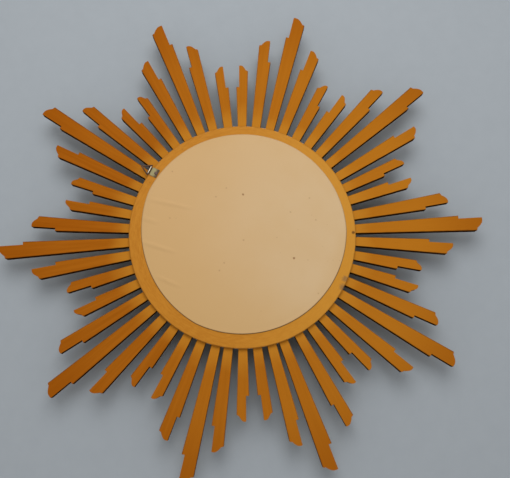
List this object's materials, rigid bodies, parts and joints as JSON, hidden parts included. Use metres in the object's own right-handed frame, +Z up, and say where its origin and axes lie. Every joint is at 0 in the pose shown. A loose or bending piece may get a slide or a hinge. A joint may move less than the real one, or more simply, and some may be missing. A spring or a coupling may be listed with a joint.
{
  "type": "sunburst wall clock",
  "caption": "Gilt sunburst wall clock: stepped wooden rays around a turned ring, hinged glazed bezel, dial and wound movement, paper-backed, hung by a strap loop.",
  "frame": {"origin": "on the dial axis, at the paper cover's outer face, which is the wall side", "axes": "+Z up to twelve o'clock as hung, dial facing -Y, wall side facing +Y"},
  "size_m": [0.6323, 0.0466, 0.6514],
  "materials": {
    "gilt_ray": "gold-bronze paint, satin, worn darker at edges and tips",
    "gilt_ring": "gold-bronze paint, satin",
    "bare_wood": "raw softwood",
    "kraft_paper": "matte tan paper, foxed",
    "zinc_steel": "dull plated steel",
    "rusty_nail": "rusty",
    "case_brass": "lacquered, polished",
    "movement_brass": "brushed",
    "arbor_steel": "turned steel",
    "blued_spring": "blued spring steel",
    "hand_black": "black lacquer",
    "dial_enamel": "ivory, satin",
    "dial_glass": "clear, domed"
  },
  "bodies": {
    "case": {"ray_cluster_1": "gilt_ray", "ray_cluster_2": "gilt_ray", "ray_cluster_3": "gilt_ray", "ray_cluster_4": "gilt_ray", "ray_cluster_5": "gilt_ray", "ray_cluster_6": "gilt_ray", "ray_cluster_7": "gilt_ray", "ray_cluster_8": "gilt_ray", "ray_cluster_9": "gilt_ray", "ray_cluster_10": "gilt_ray", "back_ring": "gilt_ring", "paper_cover": "kraft_paper", "hub_ring": "bare_wood", "front_ring": "gilt_ring", "ring_screws": "zinc_steel", "hanger_strap": "zinc_steel", "hanger_nail": "rusty_nail", "dial_plate": "dial_enamel", "hour_batons": "case_brass", "dial_screws": "case_brass", "winding_grommet": "case_brass", "hinge_leaf": "case_brass", "hinge_pin": "arbor_steel", "hinge_screws": "case_brass", "back_plate": "movement_brass", "front_plate": "movement_brass", "plate_pillars": "movement_brass", "pillar_nuts": "arbor_steel", "dial_posts": "movement_brass", "click_screw": "arbor_steel", "click_spring": "blued_spring", "minute_stud": "arbor_steel"},
    "loop": {"hanger_loop": "zinc_steel"},
    "door": {"bezel": "case_brass", "glass": "dial_glass", "glass_retainer": "case_brass"},
    "minute": {"cannon_pinion": "arbor_steel", "minute_hand": "hand_black", "hand_nut": "case_brass"},
    "minute_work": {"minute_wheel": "movement_brass"},
    "hour": {"hour_wheel": "movement_brass", "hour_hand": "hand_black"},
    "going_barrel": {"barrel": "movement_brass", "barrel_cover": "movement_brass", "mainspring": "blued_spring"},
    "centre": {"centre_wheel": "movement_brass", "centre_arbor": "arbor_steel"},
    "third": {"third_wheel": "movement_brass", "third_arbor": "arbor_steel"},
    "fourth": {"fourth_wheel": "movement_brass", "fourth_arbor": "arbor_steel"},
    "escape": {"escape_wheel": "movement_brass", "escape_arbor": "arbor_steel"},
    "winding": {"barrel_arbor": "arbor_steel", "ratchet_wheel": "arbor_steel"},
    "click_pawl": {"click": "arbor_steel"},
    "lever": {"pallet_lever": "arbor_steel"},
    "balance": {"balance_wheel": "movement_brass", "balance_staff": "arbor_steel", "hairspring": "blued_spring"}
  },
  "joints": [
    {"name": "minute_turn", "type": "hinge", "parent": "case", "child": "minute", "pos_m": [0, -0.024, 0], "axis": [0, 1, 0], "continuous": true},
    {"name": "minute_work_turn", "type": "hinge", "parent": "case", "child": "minute_work", "pos_m": [0.018, -0.024, 0], "axis": [0, 1, 0], "continuous": true},
    {"name": "hour_turn", "type": "hinge", "parent": "case", "child": "hour", "pos_m": [0, -0.025, 0], "axis": [0, 1, 0], "continuous": true},
    {"name": "fourth_turn", "type": "hinge", "parent": "case", "child": "fourth", "pos_m": [-0.00409, -0.014, 0.02315], "axis": [0, 1, 0], "continuous": true},
    {"name": "third_turn", "type": "hinge", "parent": "case", "child": "third", "pos_m": [0.009, -0.014, 0.01559], "axis": [0, 1, 0], "continuous": true},
    {"name": "centre_turn", "type": "hinge", "parent": "case", "child": "centre", "pos_m": [0, -0.014, 0], "axis": [0, 1, 0], "continuous": true},
    {"name": "barrel_turn", "type": "hinge", "parent": "case", "child": "going_barrel", "pos_m": [0, -0.013, -0.022], "axis": [0, 1, 0], "continuous": true},
    {"name": "escape_turn", "type": "hinge", "parent": "case", "child": "escape", "pos_m": [-0.01769, -0.014, 0.02315], "axis": [0, 1, 0], "continuous": true},
    {"name": "winding_turn", "type": "hinge", "parent": "case", "child": "winding", "pos_m": [0, -0.023, -0.022], "axis": [0, 1, 0], "range_deg": [0, 2160]},
    {"name": "click_lift", "type": "hinge", "parent": "case", "child": "click_pawl", "pos_m": [-0.01304, -0.023, -0.01851], "axis": [0, -1, 0], "range_deg": [0, 10], "stiffness_Nm_per_rad": 0.01, "deforming": ["click_spring"]},
    {"name": "lever_rock", "type": "hinge", "parent": "case", "child": "lever", "pos_m": [-0.02249, -0.012, 0.01483], "axis": [0, 1, 0], "range_deg": [-5, 5]},
    {"name": "balance_swing", "type": "hinge", "parent": "case", "child": "balance", "pos_m": [-0.02458, -0.015, 0.00302], "axis": [0, 1, 0], "range_deg": [-200, 200], "stiffness_Nm_per_rad": 0.000013},
    {"name": "bezel_hinge", "type": "hinge", "parent": "case", "child": "door", "pos_m": [-0.1144, -0.0368, 0], "axis": [0, 0, -1], "range_deg": [0, 105]},
    {"name": "loop_fold", "type": "hinge", "parent": "case", "child": "loop", "pos_m": [0.00144, 0.00135, 0.15379], "axis": [0.9877, 0, -0.1564], "range_deg": [-160, 25]}
  ],
  "couplings": [
    {"joint": "minute_work_turn", "follows": "minute_turn", "ratio": -0.33333},
    {"joint": "hour_turn", "follows": "minute_turn", "ratio": 0.083333},
    {"joint": "third_turn", "follows": "fourth_turn", "ratio": -0.125},
    {"joint": "centre_turn", "follows": "fourth_turn", "ratio": 0.015625},
    {"joint": "barrel_turn", "follows": "fourth_turn", "ratio": -0.0017361},
    {"joint": "escape_turn", "follows": "fourth_turn", "ratio": -7.5}
  ]
}
